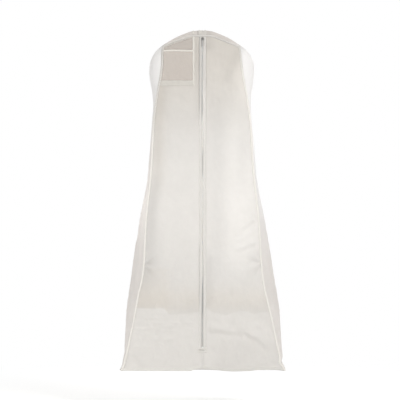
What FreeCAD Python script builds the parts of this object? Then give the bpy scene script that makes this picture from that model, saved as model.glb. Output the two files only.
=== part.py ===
import FreeCAD, Part
import math
import os

# Gown bag, in millimetres.  +Z is up, the front faces -Y, and the origin is the centre of the
# hanger opening at the very top.  The bag hangs down from there.

# ---- overall size ----
BAG_HEIGHT = 1830.0          # 72 inch gown bag, top of the hanger opening to the hem
HALF_DEPTH_TOP = 50.0        # half the gusset's width at the shoulders
HALF_DEPTH_BOTTOM = 127.0    # half the gusset's width at the hem
CLOTH = 1.5                  # thickness that the soft panels are given
GUSSET_WALL = 2.0
FLOOR_CLOTH = 2.5

# ---- seam and ridge outline ----
# Right half, from the top centre down to the hem corner: the seam between front panel and
# gusset (x, z), then the gusset's outer ridge (x, z) that belongs to the same station.
SHOULDER_STATIONS = [
    ((0.0, -31.0), (0.0, -1.0)),
    ((30.0, -31.5), (32.0, -2.5)),
    ((60.0, -34.0), (64.0, -8.0)),
    ((95.0, -46.0), (103.0, -21.0)),
    ((130.0, -60.0), (141.0, -38.0)),
    ((165.0, -74.0), (177.0, -59.0)),
    ((196.0, -87.0), (211.0, -81.5)),
]
SIDE_STATIONS = [
    ((196.0, -87.0), (211.0, -81.5)),
    ((204.0, -98.0), (237.0, -102.0)),
    ((208.0, -115.0), (255.0, -122.0)),
    ((211.0, -140.0), (269.0, -147.0)),
    ((214.0, -172.0), (279.0, -176.0)),
    ((219.0, -210.0), (281.5, -212.0)),
    ((224.0, -245.0), (281.0, -245.0)),
    ((231.0, -285.0), (276.0, -284.0)),
    ((239.0, -330.0), (268.5, -329.0)),
    ((247.0, -375.0), (264.0, -374.0)),
    ((254.0, -430.0), (264.0, -430.0)),
    ((262.0, -500.0), (269.0, -500.0)),
    ((267.5, -580.0), (275.0, -580.0)),
    ((272.0, -680.0), (283.0, -680.0)),
    ((280.0, -790.0), (292.0, -790.0)),
    ((291.0, -890.0), (309.0, -890.0)),
    ((301.0, -980.0), (327.0, -980.0)),
    ((308.0, -1070.0), (345.0, -1070.0)),
    ((312.0, -1160.0), (358.0, -1158.0)),
    ((317.0, -1250.0), (369.0, -1248.0)),
    ((326.0, -1340.0), (383.0, -1338.0)),
    ((342.0, -1425.0), (398.0, -1423.0)),
    ((362.0, -1510.0), (408.5, -1508.0)),
    ((381.0, -1600.0), (413.5, -1598.0)),
    ((400.0, -1690.0), (419.0, -1688.0)),
    ((418.0, -1770.0), (427.0, -1768.0)),
    ((433.0, -1827.5), (437.0, -1827.5)),
]
HEM_Z = -1827.5              # where the panels end; the bottom panel lies just under it

# ---- hanger opening ----
HANGER_HOLE_R = 14.0
HANGER_RING_R = 21.0
HANGER_RING_DEPTH = 8.0

# ---- seam binding ----
BINDING_WIDTH = 8.0
BINDING_THICK = 2.0
HEM_BINDING_HEIGHT = 12.0
HEM_BINDING_GAP = 4.0        # between the hem binding's end and the side binding

# ---- zip ----
SLIT_HALF = 7.5
SLIT_TOP_Z = -40.0
SLIT_BOTTOM_Z = -1703.0
TAPE_OUTER = 18.5
TAPE_INNER = 2.9
TAPE_THICK = 0.9
COIL_INNER = 0.9
COIL_OUTER = 3.3
COIL_LOW = 0.6
COIL_HIGH = 3.9
TOP_STOP_LENGTH = 2.6
BOTTOM_STOP_LENGTH = 6.0
TOP_PATCH_HALF = 21.5          # the patch from the zip's top end up to the hanger opening
TOP_PATCH_BACK_Y = -22.0
BOTTOM_PATCH_HALF = 24.0
BOTTOM_PATCH_HEIGHT = 26.0
PATCH_THICK = 1.4

# ---- slider and pull tab ----
SLIDER_Z = -51.0             # middle of the slider with the zip closed
SLIDER_LENGTH = 15.0
SLIDER_HALF = 6.0
SLIDER_FLANGE = 1.5
SLIDER_TOP_LOW = 4.4
SLIDER_TOP_HIGH = 5.9
SLIDER_BASE_LOW = -1.9
SLIDER_BASE_HIGH = -0.5
TAPE_GAP_LOW = 1.0           # the slot in the slider's sides that the tapes run through
TAPE_GAP_HIGH = 2.9
POST_HALF = 0.5
POST_LENGTH = 3.0
BAIL_HALF = 1.5
BAIL_LENGTH = 8.0
BAIL_HEIGHT = 4.2
BAIL_EYE_R = 1.4
TAB_BAR_R = 0.9
TAB_HALF = 3.6
TAB_ARM_INNER = 2.0
TAB_LENGTH = 38.0
TAB_THICK = 1.4
TAB_SLOT_LENGTH = 5.2

# ---- window and card pocket, on the viewer's left ----
POCKET_RIGHT = -52.0
POCKET_SEAM_INSET = 9.0      # how far the pocket stays inside the side seam
WINDOW_SIDE_INSET = 9.0      # cloth left beside the window for the seam
WINDOW_TOP_INSET = 12.0
WINDOW_CORNER_Z = -108.0     # top of the window's left edge, under the shoulder's corner
WINDOW_CORNER_CUT = 14.0
WINDOW_LAP = 4.0             # how far the pocket and its binding cover the window's edge
PANE_RECESS = 0.2
POCKET_MOUTH_Z = -114.0
POCKET_BOTTOM_Z = -270.0
POCKET_BASE_HEIGHT = 28.0
POCKET_SIDE_WIDTH = 9.5
POCKET_MOUTH_WIDTH = 8.0
VINYL = 0.6
TRIM_THICK = 0.9

# ---- cutting and rounding ----
CUT_REACH = 6.0              # how far a cutter passes both faces of a panel
KEEP_REACH = 450.0           # a box of this reach holds one whole half of the bag
EDGE_TOLERANCE = 0.01
BAIL_ROUND = 2.0
TAB_ROUND = 2.4
SLIDER_CORNER = 2.0
SLIDER_TAPER = 1.2

SLOPE = (HALF_DEPTH_BOTTOM - HALF_DEPTH_TOP) / BAG_HEIGHT
NORMAL_LENGTH = math.hypot(1.0, SLOPE)
TILT_DEGREES = math.degrees(math.atan(SLOPE))


def half_depth(z):
    return HALF_DEPTH_TOP - SLOPE * z


def on_front(x, z, out=0.0):
    # A point of the front plane seen straight on at (x, z), moved out along the plane's normal.
    return FreeCAD.Vector(x, -half_depth(z) - out / NORMAL_LENGTH, z + out * SLOPE / NORMAL_LENGTH)


def out_vector(distance):
    return FreeCAD.Vector(0.0, -distance / NORMAL_LENGTH, distance * SLOPE / NORMAL_LENGTH)


def front_plate(outline, low, high):
    # A flat plate parallel to the front plane, from its straight-on outline.
    points = [on_front(x, z, low) for x, z in outline]
    wire = Part.makePolygon(points + [points[0]])
    return Part.Face(wire).extrude(out_vector(high - low))


def front_rectangle(x_low, x_high, z_low, z_high, low, high):
    outline = [(x_low, z_low), (x_high, z_low), (x_high, z_high), (x_low, z_high)]
    return front_plate(outline, low, high)


def mirrored(shape, axis):
    return shape.mirror(FreeCAD.Vector(0, 0, 0), axis)


def to_back(shape):
    return mirrored(shape, FreeCAD.Vector(0, 1, 0))


def to_left(shape):
    return mirrored(shape, FreeCAD.Vector(1, 0, 0))


def seam_outline():
    # The front seam from the top centre to the hem corner, each station once.
    seam = [pair[0] for pair in SHOULDER_STATIONS]
    seam += [pair[0] for pair in SIDE_STATIONS[1:]]
    return seam


def seam_x(z):
    seam = seam_outline()
    for (x0, z0), (x1, z1) in zip(seam, seam[1:]):
        if z1 <= z <= z0:
            return x0 + (x1 - x0) * (z0 - z) / (z0 - z1)
    return seam[-1][0]


def shoulder_z(x):
    seam = [pair[0] for pair in SHOULDER_STATIONS]
    for (x0, z0), (x1, z1) in zip(seam, seam[1:]):
        if x0 <= x <= x1:
            return z0 + (z1 - z0) * (x - x0) / (x1 - x0)
    return seam[-1][1]


# ---- cloth ----

def full_front():
    right = seam_outline()
    left = [(-x, z) for x, z in reversed(right[1:])]
    return front_plate(right + left, 0.0, CLOTH)


def zip_slit():
    return front_rectangle(
        -SLIT_HALF, SLIT_HALF, SLIT_BOTTOM_Z, SLIT_TOP_Z, -CUT_REACH, CUT_REACH
    )


def left_seam_run(bottom_z, top_z, inset):
    # Points up the left side seam, moved inside it, with every station on the way.
    heights = [z for x, z in reversed(seam_outline()) if bottom_z < z < top_z]
    return [(-seam_x(z) + inset, z) for z in [bottom_z] + heights + [top_z]]


def window_outline():
    # Follows the side seam and the shoulder seam inside them, and stops beside the zip.
    bottom_z = POCKET_BOTTOM_Z + WINDOW_LAP
    right_x = POCKET_RIGHT - WINDOW_LAP / 2
    outline = [(right_x, bottom_z)]
    outline += left_seam_run(bottom_z, WINDOW_CORNER_Z, WINDOW_SIDE_INSET)
    corner_x = outline[-1][0] + WINDOW_CORNER_CUT
    shoulder = [corner_x] + [-x for (x, z), ridge in reversed(SHOULDER_STATIONS)] + [right_x]
    for x in shoulder:
        if corner_x <= x <= right_x:
            outline.append((x, shoulder_z(-x) - WINDOW_TOP_INSET))
    return outline


def window_cut():
    return front_plate(window_outline(), -CUT_REACH, CUT_REACH)


def half_space(side):
    height = BAG_HEIGHT + 2 * KEEP_REACH
    corner = FreeCAD.Vector(0, -KEEP_REACH, -BAG_HEIGHT - KEEP_REACH)
    box = Part.makeBox(2 * KEEP_REACH, 2 * KEEP_REACH, height, corner)
    return box if side > 0 else to_left(box)


def front_panel(side):
    panel = full_front().common(half_space(side)).cut(zip_slit())
    if side < 0:
        panel = panel.cut(window_cut())
    return panel


def back_panel():
    return to_back(full_front())


def gusset_section(pair, outside=0.0, inside=GUSSET_WALL):
    # A closed strip in the plane through Y and the line from seam to ridge.
    seam, ridge = pair
    dx = ridge[0] - seam[0]
    dz = ridge[1] - seam[1]
    length = math.hypot(dx, dz)

    def stepped(point, distance):
        return (point[0] + distance * dx / length, point[1] + distance * dz / length)

    outer, outer_ridge = stepped(seam, outside), stepped(ridge, outside)
    inner, inner_ridge = stepped(seam, -inside), stepped(ridge, -inside)
    a = FreeCAD.Vector(outer[0], -half_depth(outer[1]), outer[1])
    b = FreeCAD.Vector(outer_ridge[0], 0.0, outer_ridge[1])
    c = FreeCAD.Vector(outer[0], half_depth(outer[1]), outer[1])
    d = FreeCAD.Vector(inner[0], half_depth(inner[1]), inner[1])
    e = FreeCAD.Vector(inner_ridge[0], 0.0, inner_ridge[1])
    f = FreeCAD.Vector(inner[0], -half_depth(inner[1]), inner[1])
    edges = [
        Part.Arc(a, b, c).toShape(),
        Part.LineSegment(c, d).toShape(),
        Part.Arc(d, e, f).toShape(),
        Part.LineSegment(f, a).toShape(),
    ]
    return Part.Wire(edges)


def gusset(stations):
    return Part.makeLoft([gusset_section(pair) for pair in stations], True, True)


def mirrored_stations(stations):
    return [((-seam[0], seam[1]), (-ridge[0], ridge[1])) for seam, ridge in stations]


def shoulder_gusset():
    left = list(reversed(mirrored_stations(SHOULDER_STATIONS[1:])))
    band = gusset(left + SHOULDER_STATIONS)
    hole = Part.makeCylinder(HANGER_RING_R, 2 * BAG_HEIGHT, FreeCAD.Vector(0, 0, -BAG_HEIGHT))
    return band.cut(hole)


def side_gusset(side):
    shape = gusset(SIDE_STATIONS)
    return shape if side > 0 else to_left(shape)


def bottom_panel():
    seam, ridge = SIDE_STATIONS[-1]
    depth = half_depth(HEM_Z) + CLOTH
    corners = [
        FreeCAD.Vector(seam[0], -depth, HEM_Z),
        FreeCAD.Vector(ridge[0], 0.0, HEM_Z),
        FreeCAD.Vector(seam[0], depth, HEM_Z),
        FreeCAD.Vector(-seam[0], depth, HEM_Z),
        FreeCAD.Vector(-ridge[0], 0.0, HEM_Z),
        FreeCAD.Vector(-seam[0], -depth, HEM_Z),
    ]
    edges = [
        Part.Arc(corners[0], corners[1], corners[2]).toShape(),
        Part.LineSegment(corners[2], corners[3]).toShape(),
        Part.Arc(corners[3], corners[4], corners[5]).toShape(),
        Part.LineSegment(corners[5], corners[0]).toShape(),
    ]
    return Part.Face(Part.Wire(edges)).extrude(FreeCAD.Vector(0, 0, -FLOOR_CLOTH))


def hanger_opening_binding():
    low = FreeCAD.Vector(0, 0, -HANGER_RING_DEPTH)
    outer = Part.makeCylinder(HANGER_RING_R, HANGER_RING_DEPTH, low)
    inner = Part.makeCylinder(HANGER_HOLE_R, HANGER_RING_DEPTH, low)
    return outer.cut(inner)


# ---- seam bindings ----

def inward_offsets(points, distance):
    # Each point moved towards the bag's middle, square to the line through its neighbours.
    moved = []
    for i, (x, z) in enumerate(points):
        x0, z0 = points[max(i - 1, 0)]
        x1, z1 = points[min(i + 1, len(points) - 1)]
        along = math.hypot(x1 - x0, z1 - z0)
        moved.append((x + distance * (z1 - z0) / along, z - distance * (x1 - x0) / along))
    return moved


def side_binding():
    seam = [pair[0] for pair in SIDE_STATIONS]
    inner = inward_offsets(seam, BINDING_WIDTH)
    top_z = SIDE_STATIONS[0][0][1]
    inner[0] = (seam[0][0] - BINDING_WIDTH, top_z)
    inner[-1] = (seam[-1][0] - BINDING_WIDTH, HEM_Z)
    return front_plate(seam + list(reversed(inner)), CLOTH, CLOTH + BINDING_THICK)


def shoulder_binding():
    right = [pair[0] for pair in SHOULDER_STATIONS]
    seam = [(-x, z) for x, z in reversed(right[1:])] + right
    inner = inward_offsets(seam, BINDING_WIDTH)
    corner_z = right[-1][1]
    inner[0] = (seam[0][0] + BINDING_WIDTH, corner_z)
    inner[-1] = (seam[-1][0] - BINDING_WIDTH, corner_z)
    return front_plate(seam + list(reversed(inner)), CLOTH, CLOTH + BINDING_THICK)


def hem_binding():
    half = SIDE_STATIONS[-1][0][0] - BINDING_WIDTH - HEM_BINDING_GAP
    top = HEM_Z + HEM_BINDING_HEIGHT
    return front_rectangle(-half, half, HEM_Z, top, CLOTH, CLOTH + BINDING_THICK)


# ---- zip ----

def zip_tape():
    return front_rectangle(TAPE_INNER, TAPE_OUTER, SLIT_BOTTOM_Z, SLIT_TOP_Z, CLOTH, CLOTH + TAPE_THICK)


def zip_coil():
    low = SLIT_BOTTOM_Z + BOTTOM_STOP_LENGTH
    high = SLIT_TOP_Z - TOP_STOP_LENGTH
    coil = front_rectangle(COIL_INNER, COIL_OUTER, low, high, COIL_LOW, COIL_HIGH)
    return coil.cut(zip_tape())


def top_stops():
    low = SLIT_TOP_Z - TOP_STOP_LENGTH
    stop = front_rectangle(COIL_INNER, COIL_OUTER, low, SLIT_TOP_Z, COIL_LOW, COIL_HIGH)
    stop = stop.cut(zip_tape())
    return Part.makeCompound([stop, to_left(stop)])


def bottom_stop():
    high = SLIT_BOTTOM_Z + BOTTOM_STOP_LENGTH
    stop = front_rectangle(-COIL_OUTER, COIL_OUTER, SLIT_BOTTOM_Z, high, COIL_LOW, COIL_HIGH)
    return stop.cut(zip_tape()).cut(to_left(zip_tape()))


def top_patch():
    # Lies on the shoulder gusset's front slope, between the front seam and the hanger opening.
    right = SHOULDER_STATIONS[:2]
    stations = mirrored_stations(right[1:]) + right
    skin = Part.makeLoft([gusset_section(pair, PATCH_THICK, 0.0) for pair in stations], True, True)
    corner = FreeCAD.Vector(-TOP_PATCH_HALF, TOP_PATCH_BACK_Y - KEEP_REACH, -KEEP_REACH)
    keep = Part.makeBox(2 * TOP_PATCH_HALF, KEEP_REACH, 2 * KEEP_REACH, corner)
    return skin.common(keep)


def bottom_patch():
    low = SLIT_BOTTOM_Z - BOTTOM_PATCH_HEIGHT
    return front_rectangle(
        -BOTTOM_PATCH_HALF, BOTTOM_PATCH_HALF, low, SLIT_BOTTOM_Z, CLOTH, CLOTH + PATCH_THICK
    )


# ---- slider ----

def on_slider(shape):
    # Takes a shape drawn with x across, -z down the zip and -y away from the cloth, and lays it
    # on the front plane with its origin at the middle of the closed slider.
    placed = shape.copy()
    placed.rotate(FreeCAD.Vector(0, 0, 0), FreeCAD.Vector(1, 0, 0), -TILT_DEGREES)
    placed.translate(on_front(0.0, SLIDER_Z))
    return placed


def slider_box(x_low, x_high, z_low, z_high, low, high):
    corner = FreeCAD.Vector(x_low, -high, z_low)
    return Part.makeBox(x_high - x_low, high - low, z_high - z_low, corner)


def slider_flange(low, high):
    end = SLIDER_LENGTH / 2
    return slider_box(SLIDER_HALF - SLIDER_FLANGE, SLIDER_HALF, -end, end, low, high)


def rounded_plate(low, high):
    # Narrower at the lower end, where the joined coils leave the slider.
    end = SLIDER_LENGTH / 2
    outline = [
        (-SLIDER_HALF, end - SLIDER_CORNER),
        (-SLIDER_HALF + SLIDER_CORNER, end),
        (SLIDER_HALF - SLIDER_CORNER, end),
        (SLIDER_HALF, end - SLIDER_CORNER),
        (SLIDER_HALF, 0.0),
        (SLIDER_HALF - SLIDER_TAPER, -end),
        (-SLIDER_HALF + SLIDER_TAPER, -end),
        (-SLIDER_HALF, 0.0),
    ]
    points = [FreeCAD.Vector(x, -low, z) for x, z in outline]
    wire = Part.makePolygon(points + [points[0]])
    return Part.Face(wire).extrude(FreeCAD.Vector(0, -(high - low), 0))


def edges_across(shape, height_y=None, height_z=None):
    # Straight edges along X that lie at the given Y or Z.
    found = []
    for edge in shape.Edges:
        ends = [v.Point for v in edge.Vertexes]
        if abs(ends[0].x - ends[1].x) < EDGE_TOLERANCE:
            continue
        if height_y is not None and all(abs(p.y - height_y) < EDGE_TOLERANCE for p in ends):
            found.append(edge)
        if height_z is not None and all(abs(p.z - height_z) < EDGE_TOLERANCE for p in ends):
            found.append(edge)
    return found


def slider_bail():
    # The raised bridge on the slider that the pull tab hangs from.
    half = BAIL_LENGTH / 2
    low = SLIDER_TOP_HIGH
    arch = slider_box(-BAIL_HALF, BAIL_HALF, -half, half, low, low + BAIL_HEIGHT)
    arch = arch.makeFillet(BAIL_ROUND, edges_across(arch, height_y=-low - BAIL_HEIGHT))
    start = FreeCAD.Vector(-BAIL_HALF, -pivot_height(), 0)
    eye = Part.makeCylinder(BAIL_EYE_R, 2 * BAIL_HALF, start, FreeCAD.Vector(1, 0, 0))
    return arch.cut(eye)


def pivot_height():
    return SLIDER_TOP_HIGH + BAIL_HEIGHT / 2


def zip_slider():
    end = SLIDER_LENGTH / 2
    top = rounded_plate(SLIDER_TOP_LOW, SLIDER_TOP_HIGH)
    base = rounded_plate(SLIDER_BASE_LOW, SLIDER_BASE_HIGH)
    upper = slider_flange(TAPE_GAP_HIGH, SLIDER_TOP_LOW)
    lower = slider_flange(SLIDER_BASE_HIGH, TAPE_GAP_LOW)
    post = slider_box(-POST_HALF, POST_HALF, end - POST_LENGTH, end, SLIDER_BASE_HIGH, SLIDER_TOP_LOW)
    envelope = rounded_plate(SLIDER_BASE_LOW, SLIDER_TOP_HIGH)
    flanges = [f.common(envelope) for f in (upper, to_left(upper), lower, to_left(lower))]
    body = top.fuse([base, post, slider_bail()] + flanges).removeSplitter()
    return on_slider(body)


def zip_pull_tab():
    height = pivot_height()
    low = height - TAB_THICK / 2
    high = height + TAB_THICK / 2
    shoulder = -TAB_SLOT_LENGTH
    plate = slider_box(-TAB_HALF, TAB_HALF, -TAB_LENGTH, shoulder, low, high)
    corners = [e for e in plate.Edges if is_tab_corner(e)]
    plate = plate.makeFillet(TAB_ROUND, corners)
    arm = slider_box(TAB_ARM_INNER, TAB_HALF, shoulder, 0.0, low, high)
    across = FreeCAD.Vector(1, 0, 0)
    knuckle_start = FreeCAD.Vector(TAB_ARM_INNER, -height, 0)
    knuckle = Part.makeCylinder(TAB_THICK / 2, TAB_HALF - TAB_ARM_INNER, knuckle_start, across)
    bar = Part.makeCylinder(TAB_BAR_R, 2 * TAB_HALF, FreeCAD.Vector(-TAB_HALF, -height, 0), across)
    pieces = [arm, to_left(arm), knuckle, to_left(knuckle), bar]
    return on_slider(plate.fuse(pieces).removeSplitter())


def is_tab_corner(edge):
    # The two short edges through the tab's thickness at its free end.
    ends = [v.Point for v in edge.Vertexes]
    at_end = all(abs(p.z + TAB_LENGTH) < EDGE_TOLERANCE for p in ends)
    return at_end and abs(ends[0].x - ends[1].x) < EDGE_TOLERANCE


# ---- window and pocket ----

def window_pane():
    return front_plate(window_outline(), PANE_RECESS, PANE_RECESS + VINYL)


def pocket_pane():
    outline = [(POCKET_RIGHT, POCKET_BOTTOM_Z)]
    outline += left_seam_run(POCKET_BOTTOM_Z, POCKET_MOUTH_Z, POCKET_SEAM_INSET)
    outline.append((POCKET_RIGHT, POCKET_MOUTH_Z))
    return front_plate(outline, CLOTH, CLOTH + VINYL)


def pocket_mouth_binding():
    low = POCKET_MOUTH_Z - POCKET_MOUTH_WIDTH / 2
    high = POCKET_MOUTH_Z + POCKET_MOUTH_WIDTH / 2
    left = -seam_x(high) + POCKET_SEAM_INSET + 1.0
    under = CLOTH + VINYL
    return front_rectangle(left, POCKET_RIGHT, low, high, under, under + TRIM_THICK)


def pocket_side_binding():
    right = POCKET_RIGHT + POCKET_SIDE_WIDTH
    low = POCKET_BOTTOM_Z - POCKET_BASE_HEIGHT
    gap = BINDING_WIDTH + 1.0
    outline = [
        (POCKET_RIGHT, low),
        (right, low),
        (right, shoulder_z(-right) - gap),
        (POCKET_RIGHT, shoulder_z(-POCKET_RIGHT) - gap),
    ]
    return front_plate(outline, CLOTH, CLOTH + TRIM_THICK)


def pocket_base_binding():
    low = POCKET_BOTTOM_Z - POCKET_BASE_HEIGHT
    outline = [(POCKET_RIGHT, POCKET_BOTTOM_Z), (POCKET_RIGHT, low)]
    outline += left_seam_run(low, POCKET_BOTTOM_Z, POCKET_SEAM_INSET)
    return front_plate(outline, CLOTH, CLOTH + TRIM_THICK)


PARTS = {
    "front_panel_left": lambda: front_panel(-1),
    "front_panel_right": lambda: front_panel(1),
    "back_panel": back_panel,
    "shoulder_gusset": shoulder_gusset,
    "side_gusset_left": lambda: side_gusset(-1),
    "side_gusset_right": lambda: side_gusset(1),
    "bottom_panel": bottom_panel,
    "hanger_opening_binding": hanger_opening_binding,
    "front_side_binding_left": lambda: to_left(side_binding()),
    "front_side_binding_right": side_binding,
    "front_shoulder_binding": shoulder_binding,
    "back_side_binding_left": lambda: to_left(to_back(side_binding())),
    "back_side_binding_right": lambda: to_back(side_binding()),
    "back_shoulder_binding": lambda: to_back(shoulder_binding()),
    "front_hem_binding": hem_binding,
    "back_hem_binding": lambda: to_back(hem_binding()),
    "zip_tape_left": lambda: to_left(zip_tape()),
    "zip_tape_right": zip_tape,
    "zip_coil_left": lambda: to_left(zip_coil()),
    "zip_coil_right": zip_coil,
    "zip_top_stops": top_stops,
    "zip_bottom_stop": bottom_stop,
    "zip_top_patch": top_patch,
    "zip_bottom_patch": bottom_patch,
    "window_pane": window_pane,
    "pocket_pane": pocket_pane,
    "pocket_mouth_binding": pocket_mouth_binding,
    "pocket_side_binding": pocket_side_binding,
    "pocket_base_binding": pocket_base_binding,
    "zip_slider": zip_slider,
    "zip_pull_tab": zip_pull_tab,
}

os.makedirs("parts", exist_ok=True)
for name, make in PARTS.items():
    shape = make()
    shape.exportStep("parts/" + name + ".step")
    box = shape.BoundBox
    print(name, shape.isValid(), len(shape.Solids), round(shape.Volume),
          [round(v, 1) for v in (box.XMin, box.XMax, box.YMin, box.YMax, box.ZMin, box.ZMax)])
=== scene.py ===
import bpy
import bmesh
from bisect import bisect_left
from math import asin, atan, atan2, copysign, cos, exp, hypot, pi, sin
from mathutils import Matrix, Vector, noise


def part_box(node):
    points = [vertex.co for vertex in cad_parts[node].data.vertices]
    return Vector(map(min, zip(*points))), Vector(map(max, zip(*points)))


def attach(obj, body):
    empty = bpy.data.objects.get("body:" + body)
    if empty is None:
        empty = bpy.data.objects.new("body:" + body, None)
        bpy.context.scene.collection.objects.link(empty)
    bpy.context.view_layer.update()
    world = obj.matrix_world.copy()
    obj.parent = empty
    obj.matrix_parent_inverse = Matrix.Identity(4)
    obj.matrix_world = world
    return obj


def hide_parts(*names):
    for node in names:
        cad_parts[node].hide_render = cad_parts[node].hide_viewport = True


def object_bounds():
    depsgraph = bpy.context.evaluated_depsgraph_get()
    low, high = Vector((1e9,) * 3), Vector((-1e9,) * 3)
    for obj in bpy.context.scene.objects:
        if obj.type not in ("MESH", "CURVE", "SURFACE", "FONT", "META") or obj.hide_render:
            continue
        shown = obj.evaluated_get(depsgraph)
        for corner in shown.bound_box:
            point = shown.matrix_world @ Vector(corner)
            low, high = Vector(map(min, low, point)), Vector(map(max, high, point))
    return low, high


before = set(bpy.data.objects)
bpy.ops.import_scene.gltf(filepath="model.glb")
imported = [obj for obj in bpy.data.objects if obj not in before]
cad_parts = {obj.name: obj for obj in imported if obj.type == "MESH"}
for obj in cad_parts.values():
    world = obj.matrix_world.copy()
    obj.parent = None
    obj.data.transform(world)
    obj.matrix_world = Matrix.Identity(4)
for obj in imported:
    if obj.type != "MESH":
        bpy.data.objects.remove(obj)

cadLow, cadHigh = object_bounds()
scene = bpy.context.scene
scene.view_settings.view_transform = "Standard"
print("frame loaded:", len(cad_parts), "nodes")

# the bag's cut
# Stations of the right half from the top centre down, in mm: front seam x, z, then the gusset's ridge x, z.
bag = {
    "shoulders": [
        (0, -31, 0, -1), (30, -31.5, 32, -2.5), (60, -34, 64, -8), (95, -46, 103, -21),
        (130, -60, 141, -38), (165, -74, 177, -59), (196, -87, 211, -81.5),
    ],
    "sides": [
        (204, -98, 237, -102), (208, -115, 255, -122), (211, -140, 269, -147), (214, -172, 279, -176),
        (219, -210, 281.5, -212), (224, -245, 281, -245), (231, -285, 276, -284), (239, -330, 268.5, -329),
        (247, -375, 264, -374), (254, -430, 264, -430), (262, -500, 269, -500), (267.5, -580, 275, -580),
        (272, -680, 283, -680), (280, -790, 292, -790), (291, -890, 309, -890), (301, -980, 327, -980),
        (308, -1070, 345, -1070), (312, -1160, 358, -1158), (317, -1250, 369, -1248),
        (326, -1340, 383, -1338), (342, -1425, 398, -1423), (362, -1510, 408.5, -1508),
        (381, -1600, 413.5, -1598), (400, -1690, 419, -1688), (418, -1770, 427, -1768),
        (433, -1827.5, 437, -1827.5),
    ],
    "cloth": 0.0006,        # thickness of the spun-bond cloth
    "stand": 0.0008,        # how far front and back lie outside the frame's planes
    "billow": 0.013,        # how far the front halves swell at most
    "longFold": 0.005,      # height of the long soft folds
    "crumple": 0.0011,      # height of the small dents
    "packFolds": [(-0.622, 0.7), (-1.245, 1.5), (-1.513, 1.4)],   # height, and depth in mm
    "pinches": [(-0.318, -1.262), (0.3165, -1.247)],              # where a seam is nipped
}

stations = [Vector(p) / 1000 for p in bag["shoulders"] + bag["sides"]]
corner = len(bag["shoulders"]) - 1
last = len(stations) - 1
hemZ = bag["sides"][-1][1] / 1000
backLow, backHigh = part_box("back_panel")
cadCloth = 0.0015       # thickness of the frame's back panel
slope = (backHigh.y - backLow.y - cadCloth) / (backHigh.z - backLow.z)
depthAtTop = backLow.y + slope * backHigh.z
tilt = Matrix.Rotation(-atan(slope), 4, "X")
normalLength = hypot(1.0, slope)


def halfDepth(z):
    return depthAtTop - slope * z


def clamp(t):
    return max(0, min(1, t))


def smooth(t):
    t = clamp(t)
    return t * t * (3 - 2 * t)


def ramp(value, start, width):
    # rises from 0 at start to 1 one width further on
    return smooth((value - start) / width)


def mix(a, b, t):
    return a + (b - a) * t


def bell(distance, width):
    return exp(-(distance / width) ** 2)


def waver(x, y, z):
    return noise.noise(Vector((x, y, z)))


def curveAt(s):
    # smooth line through the stations; a negative s is the left half
    side = -1 if s < 0 else 1
    s = min(abs(s), last - 1e-6)
    i = int(s)
    f = s - i
    second = stations[1]
    mirrored = Vector((-second[0], second[1], -second[2], second[3]))
    before = stations[i - 1] if i else mirrored
    after = stations[min(i + 2, last)]
    a, b = stations[i], stations[i + 1]
    p = 0.5 * (2 * a + (b - before) * f + (2 * before - 5 * a + 4 * b - after) * f * f
               + (3 * a - before - 3 * b + after) * f ** 3)
    return Vector((side * p[0], p[1], side * p[2], p[3]))


def lookUp(pairs):
    # straight lines between the pairs, level beyond both ends
    keys = [k for k, v in pairs]
    values = [v for k, v in pairs]

    def find(k):
        i = min(max(bisect_left(keys, k), 1), len(keys) - 1)
        t = clamp((k - keys[i - 1]) / (keys[i] - keys[i - 1]))
        return mix(values[i - 1], values[i], t)

    return find


perStation = 50
fine = [curveAt(i / perStation) for i in range(last * perStation + 1)]
sideHalf = lookUp([(-p[1], p[0]) for p in fine[corner * perStation:]])
shoulderZ = lookUp([(p[0], p[1]) for p in fine[:corner * perStation + 1]])
cornerX = stations[corner][0]


def seamHalf(z):
    return sideHalf(-z)


# Lift of the front hem, in mm, from the left corner to the right one.
hemLift = lookUp([
    (-0.435, 4), (-0.062, 2.5), (-0.038, 13), (0, 14), (0.06, 9), (0.12, 2), (0.16, 0), (0.25, 2.5),
    (0.29, 8), (0.39, 9.5), (0.435, 3)])


def settle(p):
    # the bag hangs a little off square, and its hem waves
    reach = clamp((abs(p.x) - 0.06) / 0.16)
    side = -1 if p.x < 0 else 1
    low = clamp(-p.z / 1.83)
    toFront = clamp(-p.y / halfDepth(p.z))
    x = p.x + reach * mix(-0.0045, 0.003, low)
    wave = 0.0035 * bell(p.x + 0.055, 0.05) + 0.0022 * bell(p.x - 0.035, 0.035)
    z = p.z + wave * ramp(p.z, -0.12, 0.08)
    if side < 0 and p.z > -0.22:
        # the left shoulder's seam sits higher than the right one's
        z += 0.0075 * toFront * bell(p.x + 0.15, 0.06) * ramp(p.z, -0.14, 0.07)
        x -= 0.0062 * toFront * ramp(-p.x, 0.1, 0.09) * bell(p.z + 0.105, 0.055)
    if side < 0 and p.z < -1.2:
        x -= 0.0065 * toFront * ramp(abs(p.x), 0.2, 0.12) * bell(p.z + 1.42, 0.075)
    if abs(p.x) > 0.34 and p.z < -1.7:
        x += side * 0.0055 * clamp((-1.785 - p.z) / 0.0425) ** 2
        if side > 0:
            x -= 0.0085 * bell(p.z + 1.783, 0.017)
    if p.z < -1.735:
        z += 0.001 * hemLift(p.x) * toFront ** 2 * smooth((-1.735 - p.z) / 0.09)
    return Vector((x, p.y, z))


# the relief of front and back
def pinchFold(x, z, seed):
    lift = 0
    for i, (px, pz) in enumerate(bag["pinches"]):
        r = hypot(x - px, z - pz)
        if r < 0.3:
            angle = atan2(z - pz, px - x if px > 0 else x - px)
            spread = smooth(r / 0.018) * exp(-r / 0.075)
            lift += 0.0105 * spread * cos(5 * angle + 0.8 * i + seed)
            lift -= 0.004 * bell(r, 0.014)
    return lift


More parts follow.
